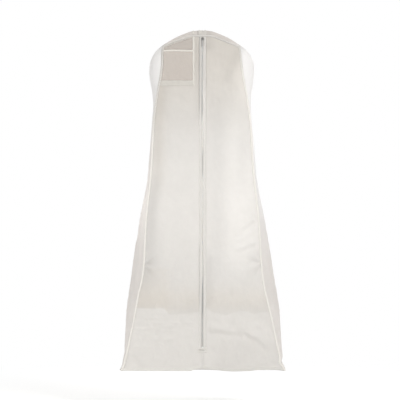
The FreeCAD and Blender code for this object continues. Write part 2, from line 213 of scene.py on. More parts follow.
zipGather = lookUp([
    (0.44, 1), (0.52, 0.25), (1.12, 0.25), (1.2, 0.75), (1.45, 0.6), (1.55, 0.25), (1.8, 0.2)])


def zipShoulder(x, z):
    # cloth gathered beside the zip's tapes, higher on the left
    d = abs(x) - 0.019
    if d <= 0 or z < -1.76:
        return 0
    top = 0.0046 if x < 0 else 0.0024
    along = zipGather(-z) * ramp(-z, 0.045, 0.05) * ramp(z, -1.76, 0.06)
    wander = 1 + 0.35 * waver(x * 3, z * 5, 8)
    return top * along * wander * smooth(d / 0.005) * exp(-max(d - 0.005, 0) / 0.02)


# The valley under the right shoulder: start, heading, length.
shoulderValley = ((0.196, -0.1), (-0.4, -0.917), 0.24)
# Height, start, heading, length, width, and the trough beside it: share, offset, width.
straightFolds = [
    (0.0065, (0.13, -1.52), (0.8, -0.6), 0.3, 0.026, (0.4615, -0.045, 0.02)),
    (-0.0065, *shoulderValley, 0.022, (0.35, 0.045, 0.02)),
    (-0.0062, (0.3, -1.02), (-0.805, -0.594), 0.17, 0.014, (0.8, 0.026, 0.014)),
    (0.0046, (0.3, -1.13), (-0.93, -0.36), 0.16, 0.014, (0.7, 0.024, 0.014)),
]


def slantFold(x, z, start, heading, length, width, trough=(0, 0, 1)):
    dx, dz = x - start[0], z - start[1]
    along = dx * heading[0] + dz * heading[1]
    if along < 0 or along > length:
        return 0
    off = dz * heading[0] - dx * heading[1]
    ends = smooth(along / (0.25 * length)) * smooth((length - along) / (0.35 * length))
    return ends * (bell(off, width) - trough[0] * bell(off - trough[1], trough[2]))


def footFold(x, z):
    # leaves the zip's foot level and then drops to the right hem corner
    line = -1.612 - 0.1 * (x - 0.03) - 14 * max(0, x - 0.16) ** 3.1
    steep = 0.1 + 43.4 * max(0, x - 0.16) ** 2.1
    off = (z - line) / hypot(1, steep)
    ends = ramp(x, 0.004, 0.03) * ramp(-x, -0.395, 0.05)
    weaker = mix(1, 0.5, ramp(x, 0.13, 0.1))
    return ends * weaker * (0.008 * bell(off - 0.018, 0.022) - 0.0056 * bell(off + 0.01, 0.014))


def packCrease(x, z, seed):
    lift = 0
    for height, depth in bag["packFolds"]:
        wander = 0.004 * waver(x * 4, seed, height)
        strength = 0.55 + 0.45 * waver(x * 6, height * 3, seed)
        d = abs(z - height - wander)
        lift += 0.001 * depth * strength * (exp(-d / 0.0045) - 0.5 * exp(-d / 0.022))
    return lift


def looseness(x, z, inner):
    # 0 at every sewn edge, 1 in the open cloth.
    width = seamHalf(z)
    edge = smooth((width - abs(x)) / 0.035)
    middle = smooth((abs(x) - inner) / 0.03) if inner else 1
    return edge * middle * smooth((shoulderZ(abs(x)) - z) / 0.045) * smooth((z - hemZ) / 0.05)


swell = lookUp([
    (0, 0), (0.09, 0.25), (0.35, 0.6), (0.9, 0.85), (1.4, 1), (1.62, 0.8), (1.78, 0.35), (1.84, 0.1)])


def relief(face, x, z):
    seed = 2 if face < 0 else 17
    inner = 0.02 if face < 0 else 0
    width = seamHalf(z)
    across = clamp((abs(x) - inner) / max(width - inner, 0.01))
    free = looseness(x, z, inner)
    body = sin(pi * across) if face < 0 else cos(0.5 * pi * clamp(abs(x) / width)) ** 0.8
    lift = bag["billow"] * swell(-z) * max(body, 0) ** 0.9 * ramp(-z, 0.03, 0.06)
    if free > 0:
        n1 = waver(x * 6.5 + seed, z * 0.85, seed)
        n2 = waver(x * 19 + 0.8 * n1, z * 2.1, seed + 4)
        n3 = waver(x * 46, z * 27, seed + 9)
        n4 = waver(x * 11 + z * 7, z * 9, seed + 13)
        dent = max(0, n4 - 0.12) * 0.006
        low = ramp(-z, 1.05, 0.45)
        lift += free * (bag["longFold"] * (0.75 * n1 + mix(0.35, 0.62, low) * n2)
                        + bag["crumple"] * mix(1, 2, low) * n3 - dent * mix(1, 1.7, low))
        if face < 0:
            lift += free * (pinchFold(x, z, seed) + footFold(x, z))
            for height, *fold in straightFolds:
                lift += height * free * slantFold(x, z, *fold)
            # fine creases across the left half where the bag was folded
            strip = bell(z + 1.585, 0.08) * smooth(-x / 0.04)
            if strip > 0.01:
                lift += free * strip * 0.0034 * waver(x * 8, z * 78, 3)
    lift += packCrease(x, z, seed) * smooth((width - abs(x)) / 0.02)
    if face < 0:
        lift += zipShoulder(x, z)
    # puckers along the sewn edges
    seamGap = width - abs(x)
    if seamGap < 0.05:
        wave = sin(z * 460 + 3 * waver(z * 30, seed, 0 if x < 0 else 1))
        lift += 0.0007 * wave * exp(-max(seamGap - 0.006, 0) / 0.012) * ramp(-z, 0.09, 0.03)
    # the hem's loose ripple
    ripple = smooth((-1.66 - z) / 0.15)
    if ripple:
        lift += ripple * (0.0042 * waver(x * 8.5, 0.3, seed + 2) + 0.0014 * waver(x * 27, z * 6, seed))
    return lift


def offPlane(face, x, z, out):
    # out is measured square to the sloping plane of the frame's front or back
    return Vector((x, face * (halfDepth(z) + out / normalLength), z + out * slope / normalLength))


def panelPoint(face, x, z, out=0):
    # face -1 is the front, 1 the back
    return settle(offPlane(face, x, z, relief(face, x, z) + out))


def frontPoint(x, z, out=0):
    return panelPoint(-1, x, z, out)


def gussetArc(s):
    # the gusset's round cross-section: bulge, half depth, radius and half angle
    sx, sz, rx, rz = curveAt(s)
    bulge, h = hypot(rx - sx, rz - sz), halfDepth(sz)
    radius = (h * h + bulge * bulge) / (2 * bulge)
    return bulge, h, radius, atan2(h, radius - bulge)


def gussetPoint(s, v, out=0):
    # v runs from the front seam (0) over the outer fold to the back seam (1).
    sx, sz, rx, rz = curveAt(s)
    bulge, h, radius, half = gussetArc(s)
    ex, ez = (rx - sx) / bulge, (rz - sz) / bulge
    angle = (2 * v - 1) * half
    y = radius * sin(angle)
    push = radius * cos(angle) - (radius - bulge)
    fromEdge = min(v, 1 - v) * 2
    free = smooth(fromEdge / 0.35)
    side = 1 if s >= 0 else -1
    n1 = waver(y * 13 + side * 5, sz * 1.5, 31)
    n2 = waver(y * 36, sz * 6 + side * 3, 37)
    n3 = waver(y * 60, sz * 34, side * 9)
    low = ramp(-sz, 0.35, 0.6)
    n4 = waver(y * 9 + sz * 5, sz * 8.5, 71 + side)
    fold = free * (mix(0.0022, 0.0062, low) * n1 + mix(0.0016, 0.0032, low) * n2 + 0.0013 * n3
                   - mix(0.004, 0.009, low) * max(0, n4 - 0.12))
    crease = 0.0042 * low * exp(-abs(y) / 0.007) - 0.0035 * low * bell(y - 0.3 * h, 0.018)
    for height, depth in bag["packFolds"]:
        d = abs(sz - height - 0.003 * n1)
        crease += 0.0016 * depth * (exp(-d / 0.005) - 0.5 * exp(-d / 0.024)) * free
    # the cloth dips beside each seam before it swells
    dip = -0.003 * low * bell(fromEdge - 0.16, 0.1)
    puck = 0.0008 * sin(sz * 455 + side) * exp(-fromEdge * h / 0.012) * ramp(-sz, 0.09, 0.03)
    push += fold + crease * smooth((0.5 - abs(v - 0.5)) / 0.08) + dip + puck + out
    return settle(Vector((sx + ex * push, y, sz + ez * push)))


# tone of the hanging cloth
def grey(level):
    # linear value of a screen level from 0 to 255
    c = level / 255
    return ((c + 0.055) / 1.055) ** 2.4 if c > 0.04045 else c / 12.92


def greys(*levels):
    return tuple(grey(level) for level in levels)


def evenTone(*levels):
    shade = greys(*levels)
    return lambda u, v: shade


# Level of the front and back cloth down the bag, which holds painted light and shade.
frontLevel = lookUp([
    (0, 210), (0.09, 207), (0.24, 212), (0.4, 219), (0.56, 227), (0.74, 233), (0.92, 235), (1.08, 234),
    (1.24, 231), (1.38, 226), (1.48, 222)])
# Level of the gussets down the bag, which holds painted light and shade.
gussetLevel = lookUp([
    (0, 201), (0.06, 203), (0.082, 210), (0.105, 229), (0.14, 236), (0.3, 240), (0.44, 240), (0.6, 238),
    (0.95, 235), (1.1, 231), (1.25, 224), (1.42, 221), (1.52, 226), (1.84, 228)])
# Depth of the shade just inside the left seam, down the bag.
seamShade = lookUp([
    (0.26, 0), (0.34, 9), (0.55, 9), (0.76, 10), (0.95, 14), (1.08, 13), (1.28, 10), (1.4, 6), (1.46, 2)])
# Height where the painted shade over the upper part of the cloth ends (the shade a gown inside would cast),
# from the left seam to the right one.
shadeLineHeight = lookUp([
    (-0.205, -1.487), (-0.18, -1.52), (-0.1, -1.518), (-0.055, -1.511), (-0.01, -1.506), (0.018, -1.483),
    (0.055, -1.508), (0.125, -1.524), (0.16, -1.511), (0.2, -1.5), (0.24, -1.506), (0.275, -1.517),
    (0.31, -1.509), (0.4, -1.505)])


def panelTone(face, x, z):
    # Painted light and shade: lighter to the right and on the upper right; darker inside the left seam, in
    # bands right of the zip, in folds and in a line left of the zip.
    level = frontLevel(-z)
    warmth = mix(6.6, 3.6, ramp(-z, 0.1, 0.55))
    if face < 0:
        middle = ramp(-z, 0.3, 0.25) * ramp(z, -1.42, 0.3)
        level += middle * (7 * bell(x - 0.19, 0.11) - 2 * smooth(-x / 0.05))
        inside = x + seamHalf(z) - 0.026 - 0.012 * bell(z + 0.77, 0.12)
        level -= seamShade(-z) * bell(inside, mix(0.034, 0.05, ramp(-z, 1, 0.15)))
        level -= 6 * bell(x - 0.036, 0.022) * ramp(-z, 1.16, 0.08) * ramp(z, -1.5, 0.04)
        level -= 5 * middle * bell(x - 0.085, 0.05)
        # painted shade along the valley under the right shoulder
        level -= 5 * slantFold(x, z, *shoulderValley, 0.028)
        patchShade = smooth((-0.155 - x) / 0.055) * ramp(-z, 1.262, 0.03)
        level -= 2.5 * patchShade
        warmth += patchShade
        # painted shade at the top right of the zip and in a soft fold on the right
        level -= 8 * bell(x - 0.032, 0.03) * ramp(z, -0.125, 0.03)
        level -= 5 * bell(x - 0.215, 0.03) * bell(z + 0.7, 0.15)
        # painted light on the upper right and down the right side
        level += 11 * bell(x - 0.225, 0.05) * ramp(-z, 0.11, 0.13) * ramp(z, -0.5, 0.2)
        level += 3.5 * smooth(x / 0.06) * ramp(z, -0.42, 0.15)
        level += smooth(x / 0.08) * ramp(-z, 1.15, 0.12)
        warmth += 1.8 * bell(x + 0.235, 0.04) * ramp(z, -0.95, 0.3) - 0.2 * smooth(x / 0.06)
        # painted shadow line along the left edge of the zip
        if z > -1.7:
            level -= 4 * bell(x + 0.03, 0.01) * ramp(z, -0.5, 0.08)
    seen = -face * x
    # painted shade above the shade line, paler cloth below it, with a little painted shade towards the right
    # at the hem
    under = smooth((shadeLineHeight(seen) + 0.003 * waver(seen * 20, 2, 0) - z) / 0.01)
    paleLevel = 228.5 + ramp(-z, 1.58, 0.12) - 4 * smooth(x / 0.1) * ramp(-z, 1.64, 0.06)
    level = mix(level, paleLevel, under)
    warmth = mix(warmth + 2 * bell(z + 1.45, 0.07), 3.8, under)
    level += 1.6 * waver(x * 9, z * 9, 60) + waver(x * 31, z * 31, 3)
    return greys(level + warmth * 0.9, level + 0.12 * warmth, level - warmth)


def gussetTone(s, v):
    p = curveAt(s)
    down = -p[1]
    level = gussetLevel(down) + 1.5 * waver(v * 3, p[1] * 8, 5 if s > 0 else 8)
    if v < 0.5:
        # painted shadow of a fold beside the top patch, and painted shade to its right
        level -= 30 * bell(p[0] + 0.0225, 0.0042) * ramp(-down, -0.06, 0.02)
        level -= 9 * bell(p[0] - 0.034, 0.02)
    # painted light and shade in bands down each side gusset
    if s > 0:
        level += 6 * ramp(down, 0.08, 0.06) + 8 * bell(down - 0.57, 0.12) - 5 * bell(down - 1.07, 0.08)
    else:
        level += 4 * ramp(down, 0.7, 0.2) + 9 * bell(down - 0.94, 0.13)
    warmth = mix(5.5, 1.5, ramp(down, 0.07, 0.03)) + 2.6 * smooth((down - (0.8 if s > 0 else 0.3)) / 0.5)
    return greys(level + warmth, level, level - warmth)


# builders
def addObject(name, data):
    obj = bpy.data.objects.new(name, data)
    scene.collection.objects.link(obj)
    return obj


def newPiece(name, bm, finish):
    # finish is a material and a slot name, of which only the material is used; a frame node of the same name
    # gives way to the piece
    mesh = bpy.data.meshes.new(name)
    bm.to_mesh(mesh)
    bm.free()
    obj = addObject(name, mesh)
    mesh.polygons.foreach_set("use_smooth", [True] * len(mesh.polygons))
    if "tone" not in mesh.attributes:
        plain = mesh.attributes.new("tone", "FLOAT_COLOR", "POINT")
        plain.data.foreach_set("color", [1.0] * (4 * len(mesh.vertices)))
    mesh.materials.append(finish[0])
    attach(obj, "bag")
    nodeName = "".join("_" + c.lower() if c.isupper() else c for c in name)
    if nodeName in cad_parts:
        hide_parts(nodeName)
    return obj


def clothPiece(name, across, along, place, size, finish, thickness=None, tone=evenTone(255, 255, 255),
               turned=False, keepFace=None, closeRound=False):
    # A grid laid out by place(u, v); size is its flat width and length, for the weave.
    bm = bmesh.new()
    bmesh.ops.create_grid(bm, x_segments=across, y_segments=along, size=0.5)
    weave = bm.loops.layers.uv.new("weave")
    toneLayer = bm.verts.layers.float_color.new("tone")
    flat = {v: (v.co.x + 0.5, v.co.y + 0.5) for v in bm.verts}
    if keepFace:
        gone = [f for f in bm.faces if not keepFace(*[sum(flat[v][i] for v in f.verts) / 4 for i in (0, 1)])]
        bmesh.ops.delete(bm, geom=gone, context="FACES")
    for face in bm.faces:
        for loop in face.loops:
            u, v = flat[loop.vert]
            loop[weave].uv = (u * size[0], v * size[1])
    for vert in bm.verts:
        u, v = flat[vert]
        vert.co = place(u, v)
        vert[toneLayer] = (*tone(u, v), 1.0)
    if closeRound:
        bmesh.ops.remove_doubles(bm, verts=bm.verts, dist=1e-7)
        ends = [e for e in bm.edges if e.is_boundary]
        bmesh.ops.holes_fill(bm, edges=ends, sides=64)
        bmesh.ops.recalc_face_normals(bm, faces=bm.faces)
    elif turned:
        bmesh.ops.reverse_faces(bm, faces=bm.faces)
    obj = newPiece(name, bm, finish)
    if thickness:
        solid = obj.modifiers.new("thickness", "SOLIDIFY")
        solid.thickness = thickness
        solid.offset = 0.0
    return obj


def runAlong(path, pitch):
    # Evenly spaced (point, direction, normal) along a finely sampled path of (point, normal).
    spots, carried = [], pitch * 0.5
    for (a, na), (b, nb) in zip(path, path[1:]):
        length = (b - a).length
        while carried < length:
            t = carried / length
            spots.append((a.lerp(b, t), (b - a).normalized(), na))
            carried += pitch
        carried -= length
    return spots


thread = {"pitch": 0.0036, "halfSize": (0.00042, 0.0013, 0.0003)}


def addStitch(bm, point, side, ahead, up, halfSize):
    turn = Matrix((side, ahead, up)).transposed().to_4x4()
    scale = Matrix.Diagonal((*halfSize, 1.0))
    bmesh.ops.create_uvsphere(bm, u_segments=6, v_segments=3, radius=1.0,
                              matrix=Matrix.Translation(point) @ turn @ scale)


def stitchRow(name, path, slot="seam_tape"):
    # short runs are made apart and then joined, which keeps this quick
    bm, run, made = bmesh.new(), bmesh.new(), bpy.data.meshes.new("run")
    spots = runAlong(path, thread["pitch"])
    for i, (point, ahead, normal) in enumerate(spots):
        side = ahead.cross(normal).normalized()
        up = side.cross(ahead).normalized()
        addStitch(run, point, side, ahead, up, thread["halfSize"])
        if i % 20 == 19 or i == len(spots) - 1:
            run.to_mesh(made)
            bm.from_mesh(made)
            run.clear()
    run.free()
    bpy.data.meshes.remove(made)
    return newPiece(name, bm, (sewingThread, slot))


# materials
def node(nt, kind, inputs=(), **settings):
    # inputs names or numbers sockets; each takes a value or another node's output
    made = nt.nodes.new("ShaderNode" + kind)
    for key, value in settings.items():
        setattr(made, key, value)
    for key, value in dict(inputs).items():
        if isinstance(value, bpy.types.NodeSocket):
            nt.links.new(value, made.inputs[key])
        else:
            made.inputs[key].default_value = value
    return made


def newMaterial(name, base, roughness, translucent=0.0, **sockets):
    # through is the shader for the light that comes from behind
    material = bpy.data.materials.new(name)
    material.use_nodes = True
    nt = material.node_tree
    shader = nt.nodes["Principled BSDF"]
    shader.inputs["Base Color"].default_value = (*base, 1.0)
    shader.inputs["Roughness"].default_value = roughness
    for key, value in sockets.items():
        shader.inputs[key.replace("_", " ")].default_value = value
    through = None
    if translucent:
        through = node(nt, "BsdfTranslucent", {"Color": (*base, 1.0)})
        blend = node(nt, "MixShader", {0: translucent, 1: shader.outputs[0], 2: through.outputs[0]})
        nt.links.new(blend.outputs[0], nt.nodes["Material Output"].inputs["Surface"])
    return material, nt, shader, through


def plug(nt, shader, **sockets):
    for key, value in sockets.items():
        nt.links.new(value, shader.inputs[key.replace("_", " ")])


def objectPlace(nt):
    return node(nt, "TexCoord").outputs["Object"]


def toneOf(nt):
    return node(nt, "Attribute", attribute_name="tone").outputs["Color"]


def calc(nt, operation, *values):
    return node(nt, "Math", dict(enumerate(values)), operation=operation).outputs[0]


def noiseField(nt, place, scale, detail, roughness=0.5, distortion=0.0):
    return node(nt, "TexNoise", {"Vector": place, "Scale": scale, "Detail": detail, "Roughness": roughness,
                                 "Distortion": distortion}).outputs[0]


def tinted(nt, colour, factor):
    # colour times factor, both sockets
    return node(nt, "VectorMath", {0: colour, "Scale": factor}, operation="SCALE").outputs[0]


def baseTimes(nt, base, factor):
    # a plain colour times a colour or factor socket
    return node(nt, "MixRGB", {0: 1.0, 1: (*base, 1.0), 2: factor}, blend_type="MULTIPLY").outputs[0]


def spread(nt, value, low, high):
    return node(nt, "MapRange", {"Value": value, "To Min": low, "To Max": high}).outputs[0]


def bumpFrom(nt, height, distance, strength=1.0, under=None):
    inputs = {"Strength": strength, "Distance": distance, "Height": height}
    if under:
        inputs["Normal"] = under
    return node(nt, "Bump", inputs).outputs[0]


spunBond = {"translucent": 0.3, "roughness": 0.78, "pointPitch": 0.0021, "pointDepth": 0.00016,
            "mottle": 0.035, "fibreDepth": 0.0001, "rumple": 0.0044, "sheen": 0.12}


def weaveCoordinates(nt, pitchAcross, pitchAlong):
    uv = node(nt, "UVMap", uv_map="weave").outputs[0]
    scaled = node(nt, "Mapping", {0: uv, "Scale": (1 / pitchAcross, 1 / pitchAlong, 1)})
    parts = node(nt, "SeparateXYZ", {0: scaled.outputs[0]})
    return uv, parts.outputs[0], parts.outputs[1]


def bondPoints(nt, pitch):
    # Staggered round points where the fibres are melted together: 1 on a point, 0 between.
    uv, x, y = weaveCoordinates(nt, pitch, pitch * 0.62)
    odd = calc(nt, "MULTIPLY", calc(nt, "PINGPONG", calc(nt, "FLOOR", y), 1), 0.5)
    dx = calc(nt, "SUBTRACT", calc(nt, "FRACT", calc(nt, "ADD", x, odd)), 0.5)
    dy = calc(nt, "SUBTRACT", calc(nt, "FRACT", y), 0.5)
    tall = calc(nt, "MULTIPLY", calc(nt, "MULTIPLY", dy, dy), 0.4)
    r2 = calc(nt, "ADD", calc(nt, "MULTIPLY", dx, dx), tall)
    near = calc(nt, "SMOOTH_MIN", calc(nt, "MULTIPLY", r2, 14), 1, 0.2)
    return uv, calc(nt, "SUBTRACT", 1, near)


def clothMaterial(name, base):
    rough, amount = spunBond["roughness"], spunBond["mottle"]
    sockets = {"Sheen_Weight": spunBond["sheen"], "Sheen_Roughness": 0.6, "Specular_IOR_Level": 0.3}
    material, nt, shader, through = newMaterial(name, base, rough, spunBond["translucent"], **sockets)
    uv, points = bondPoints(nt, spunBond["pointPitch"])
    place = objectPlace(nt)
    cloud = noiseField(nt, place, 34, 7, 0.68)
    stretch = node(nt, "Mapping", {0: uv, "Scale": (900, 260, 1), "Rotation": (0, 0, 0.35)})
    fibre = noiseField(nt, stretch.outputs[0], 1, 4)
    mottled = calc(nt, "ADD", spread(nt, cloud, 1 - amount, 1 + amount), spread(nt, fibre, -0.03, 0.03))
    mottled = calc(nt, "SUBTRACT", mottled, calc(nt, "MULTIPLY", points, 0.035))
    colour = tinted(nt, toneOf(nt), mottled)
    rumple = noiseField(nt, place, 19, 3.5, distortion=0.7)
    bump = bumpFrom(nt, rumple, spunBond["rumple"], 0.55)
    bump = bumpFrom(nt, fibre, spunBond["fibreDepth"], 0.6, bump)
    bump = bumpFrom(nt, points, spunBond["pointDepth"], 0.9, bump)
    plug(nt, shader, Base_Color=colour, Roughness=spread(nt, points, rough + 0.04, rough - 0.3), Normal=bump)
    plug(nt, through, Color=colour, Normal=bump)
    return material


def tapeMaterial(name, base, ribPitch, slanted):
    # Ribbed seam tape, or the herringbone of a zip tape when slanted.
    sockets = {"Sheen_Weight": 0.1, "Specular_IOR_Level": 0.3}
    material, nt, shader, through = newMaterial(name, base, 0.74, 0.15, **sockets)
    uv, x, y = weaveCoordinates(nt, ribPitch * (2.6 if slanted else 1), ribPitch)
    if slanted:
        y = calc(nt, "ADD", y, calc(nt, "MULTIPLY", calc(nt, "PINGPONG", x, 1), 1.6))
        x = calc(nt, "MULTIPLY", x, 3)
    rib = calc(nt, "MULTIPLY", calc(nt, "PINGPONG", y, 0.5), 2)
    height = calc(nt, "ADD", rib, calc(nt, "MULTIPLY", calc(nt, "PINGPONG", x, 0.5), 0.7))
    cloud = noiseField(nt, objectPlace(nt), 60, 5)
    shade = calc(nt, "ADD", spread(nt, cloud, 0.95, 1.04), spread(nt, rib, -0.05, 0.03))
    colour = tinted(nt, baseTimes(nt, base, toneOf(nt)), shade)
    bump = bumpFrom(nt, height, 0.00016, 0.8, bumpFrom(nt, cloud, 0.0012, 0.4))
    plug(nt, shader, Base_Color=colour, Normal=bump)
    plug(nt, through, Color=colour)
    return material


def nylonMaterial(name, base, roughness):
    sockets = {"Subsurface_Weight": 0.15, "Specular_IOR_Level": 0.5}
    material, nt, shader, _ = newMaterial(name, base, roughness, **sockets)
    grain = noiseField(nt, objectPlace(nt), 220, 3)
    colour = tinted(nt, baseTimes(nt, base, toneOf(nt)), spread(nt, grain, 0.9, 1.05))
    plug(nt, shader, Base_Color=colour, Roughness=spread(nt, grain, roughness - 0.06, roughness + 0.1))
    return material


def threadMaterial(name, base):
    material, nt, shader, _ = newMaterial(name, base, 0.62, Sheen_Weight=0.2)
    waves = {"Vector": objectPlace(nt), "Scale": 900, "Distortion": 1.5}
    twist = node(nt, "TexWave", waves, bands_direction="DIAGONAL").outputs["Fac"]
    plug(nt, shader, Base_Color=baseTimes(nt, base, spread(nt, twist, 0.86, 1.04)),
         Normal=bumpFrom(nt, twist, 0.00008, 0.7))
    return material


def vinylMaterial(name, base, alpha):
    sockets = {"Alpha": alpha, "Specular_IOR_Level": 0.5, "Coat_Weight": 0.3, "Coat_Roughness": 0.05}
    material, nt, shader, _ = newMaterial(name, base, 0.12, **sockets)
    place = objectPlace(nt)
    ripple = noiseField(nt, place, 14, 2, distortion=0.6)
    scuff = noiseField(nt, place, 130, 6)
    plug(nt, shader, Base_Color=baseTimes(nt, base, spread(nt, scuff, 0.95, 1.05)),
         Roughness=spread(nt, scuff, 0.08, 0.22), Normal=bumpFrom(nt, ripple, 0.006, 0.5))
    return material


def metalMaterial(name, base, roughness):
    material, nt, shader, _ = newMaterial(name, base, roughness, Metallic=1)
    place = objectPlace(nt)
    brushed = node(nt, "Mapping", {0: place, "Scale": (3200, 900, 260)})
    lines = noiseField(nt, brushed.outputs[0], 1, 4)
    wear = noiseField(nt, place, 300, 6)
    polish = spread(nt, lines, roughness - 0.08, roughness + 0.14)
    plug(nt, shader, Base_Color=baseTimes(nt, base, spread(nt, wear, 0.78, 1.18)), Roughness=polish,
         Normal=bumpFrom(nt, lines, 0.00003, 0.5))
    return material


cloth = clothMaterial("spun bond cloth", (0.8, 0.78, 0.74))
panelCloth = (cloth, "cloth")
patchCloth = (cloth, "seam_tape")
seamTape = (tapeMaterial("seam tape", (0.85, 0.835, 0.81), 0.0011, False), "seam_tape")
zipWeave = (tapeMaterial("zip tape weave", (0.855, 0.84, 0.818), 0.0009, True), "zip_tape")
nylon = (nylonMaterial("nylon coil", (0.855, 0.84, 0.817), 0.42), "zip_coil")
sewingThread = threadMaterial("sewing thread", (0.84, 0.82, 0.78))
# the brownish tint is painted shade, standing for the shaded inside of the bag seen through the clear vinyl
vinyl = (vinylMaterial("clear vinyl", (0.686, 0.632, 0.581), 0.42), "clear_vinyl")
sliderMetal = metalMaterial("dark slider metal", (0.24, 0.235, 0.225), 0.34)
tabMetal = metalMaterial("grey tab metal", (0.56, 0.55, 0.535), 0.36)
stopMetal = (metalMaterial("zip stop metal", (0.42, 0.41, 0.39), 0.38), "zip_stop_metal")
print("materials made")


# cloth panels
window = {"sideGap": 0.011, "topGap": 0.013, "right": -0.0545, "low": -0.2705, "cornerZ": -0.108}


def inWindow(x, z, grow=0.0):
    if x > window["right"] + grow or z < window["low"] - grow or x > 0:
        return False
    if z > shoulderZ(-x) - window["topGap"] + grow:
        return False
    return x > -seamHalf(z) + window["sideGap"] - grow


def slitHalf(z):
    # the slit behind the zip's coils
    return 0.007 * ramp(-z, 0.038, 0.004) * ramp(z, -1.705, 0.004)


def panelGrid(side, u, v):
    a = u if side > 0 else 1 - u
    z = mix(hemZ, shoulderZ(a * cornerX), v)
    start = slitHalf(z)
    return side * (start + a * (seamHalf(z) - start)), z


def frontPanel(side, name):
    def at(u, v):
        return panelGrid(side, u, v)

    def keep(u, v):
        return side > 0 or not inWindow(*at(u, v))

    return clothPiece(name, 84, 330, lambda u, v: frontPoint(*at(u, v), bag["stand"]), (0.43, 1.8), panelCloth,
                      bag["cloth"], tone=lambda u, v: panelTone(-1, *at(u, v)), keepFace=keep)


frontLeft = frontPanel(-1, "frontPanelLeft")
frontRight = frontPanel(1, "frontPanelRight")


def backGrid(u, v):
    a = 2 * u - 1
    z = mix(hemZ, shoulderZ(abs(a) * cornerX), v)
    return a * seamHalf(z), z


backPanel = clothPiece("backPanel", 136, 300, lambda u, v: panelPoint(1, *backGrid(u, v), bag["stand"]),
                       (0.87, 1.8), panelCloth, bag["cloth"],
                       tone=lambda u, v: panelTone(1, *backGrid(u, v)), turned=True)


def gusset(name, across, along, at, size, keepFace=None):
    return clothPiece(name, across, along, lambda u, v: gussetPoint(*at(u, v)), size, panelCloth, bag["cloth"],
                      tone=lambda u, v: gussetTone(*at(u, v)), keepFace=keepFace)


def sideGusset(side, name):
    def at(u, v):
        return side * mix(last, corner, v), (u if side > 0 else 1 - u)

    return gusset(name, 44, 330, at, (0.26, 1.76))


gussetLeft = sideGusset(-1, "sideGussetLeft")
gussetRight = sideGusset(1, "sideGussetRight")

ring = {"hole": 0.0142, "outer": 0.0208, "height": 0.0046, "rise": 0.0004, "overlap": 0.0035}


def shoulderAt(u, v):
    return mix(-corner, corner, u) or 1e-6, v


def clearOfHole(u, v):
    p = gussetPoint(*shoulderAt(u, v))
    return hypot(p.x, p.y) > ring["outer"] - ring["overlap"]


shoulders = gusset("shoulderGusset", 200, 56, shoulderAt, (0.46, 0.12), clearOfHole)


def floorPoint(u, v):
    y = (2 * v - 1) * halfDepth(hemZ)
    x = (2 * u - 1) * gussetPoint(last, v).x
    fromSide = 1 - abs(2 * u - 1)
    sag = 0.0016 * waver(x * 7, y * 9, 2) * smooth(fromSide / 0.1)
    front = 0.001 * hemLift(x) * clamp(-y / halfDepth(hemZ)) ** 2
    return Vector((x, y * (1 - 0.012 * fromSide), hemZ - 0.0008 + sag * 0.4 + front))


bottom = clothPiece("bottomPanel", 130, 44, floorPoint, (0.87, 0.254), panelCloth, bag["cloth"],
                    tone=evenTone(222, 219, 214), turned=True)
print("cloth panels made")


# seam bindings
binding = {"width": 0.0104, "rise": 0.0034, "thickness": 0.0007, "past": 0.0034, "stand": 0.0012}
# Levels of the seam bindings down the bag, and of the front left side binding: painted light and shade, darker
# near the shoulders and lighter below.
bindingLevel = lookUp([
    (0, 218), (0.07, 216), (0.1, 222), (0.16, 232), (0.24, 248), (0.95, 253), (1.15, 250)])
leftBindingLevel = lookUp([
    (0, 218), (0.07, 214), (0.12, 216), (0.24, 226), (0.5, 234), (0.58, 250), (0.95, 253), (1.15, 250)])
leftRight = ((-1, "Left"), (1, "Right"))
frontBack = ((-1, "front"), (1, "back"))


def sewAlong(name, pointAt, steps, normal, slot="seam_tape"):
    return stitchRow(name, [(pointAt(i / steps), normal) for i in range(steps + 1)], slot)


def seamAt(s):
    # a seam point, and the direction from it into the bag (for s > 0)
    p = curveAt(s)
    ahead, behind = curveAt(min(s + 0.05, last)), curveAt(max(s - 0.05, -last))
    tx, tz = ahead[0] - behind[0], ahead[1] - behind[1]
    length = hypot(tx, tz)
    return p[0], p[1], tz / length, -tx / length


def bindingPoint(face, s, angle, lift=0):
    x, z, inX, inZ = seamAt(s)
    wobble = 1 + 0.1 * waver(s * 4.1, face, 3)
    d = binding["past"] - (binding["width"] / 2) * wobble * cos(angle)
    w = binding["stand"] + (binding["rise"] + lift) * sin(angle)
    px, pz = x + inX * d, z + inZ * d
    if abs(s) > corner:
        px = copysign(min(abs(px), seamHalf(pz) + 0.002), px)
    return panelPoint(face, px, pz, w)


def seamBinding(name, face, start, end, steps):
    def place(u, v):
        return bindingPoint(face, mix(start, end, v), mix(-0.3, pi, u))

    def tone(u, v):
        find = leftBindingLevel if face < 0 and start < -corner and end < 0 else bindingLevel
        level = find(-curveAt(mix(start, end, v))[1])
        return greys(level, level - 2, level - 5)

    clothPiece(name, 8, steps, place, (0.012, 1.8), seamTape, binding["thickness"], tone=tone,
               turned=(face < 0) == (start < end))
    stitches = name.replace("Binding", "Stitches")
    sewAlong(stitches, lambda t: bindingPoint(face, mix(start, end, t), 2.35, 0.0005), 1200,
             Vector((0, face, 0)))


for face, word in frontBack:
    for side, sideWord in leftRight:
        seamBinding(f"{word}SideBinding{sideWord}", face, side * last, side * corner, 560)
    seamBinding(f"{word}ShoulderBinding", face, -corner, corner, 180)

hem = {"high": 0.0125, "half": 0.424, "rise": 0.0019}


def hemPoint(face, t, angle, lift=0):
    # t runs from the left end (0) to the right one (1)
    d = hem["high"] / 2 - (hem["high"] / 2 + 0.0008) * cos(angle)
    return panelPoint(face, (2 * t - 1) * hem["half"], hemZ + d, 0.001 + (hem["rise"] + lift) * sin(angle))


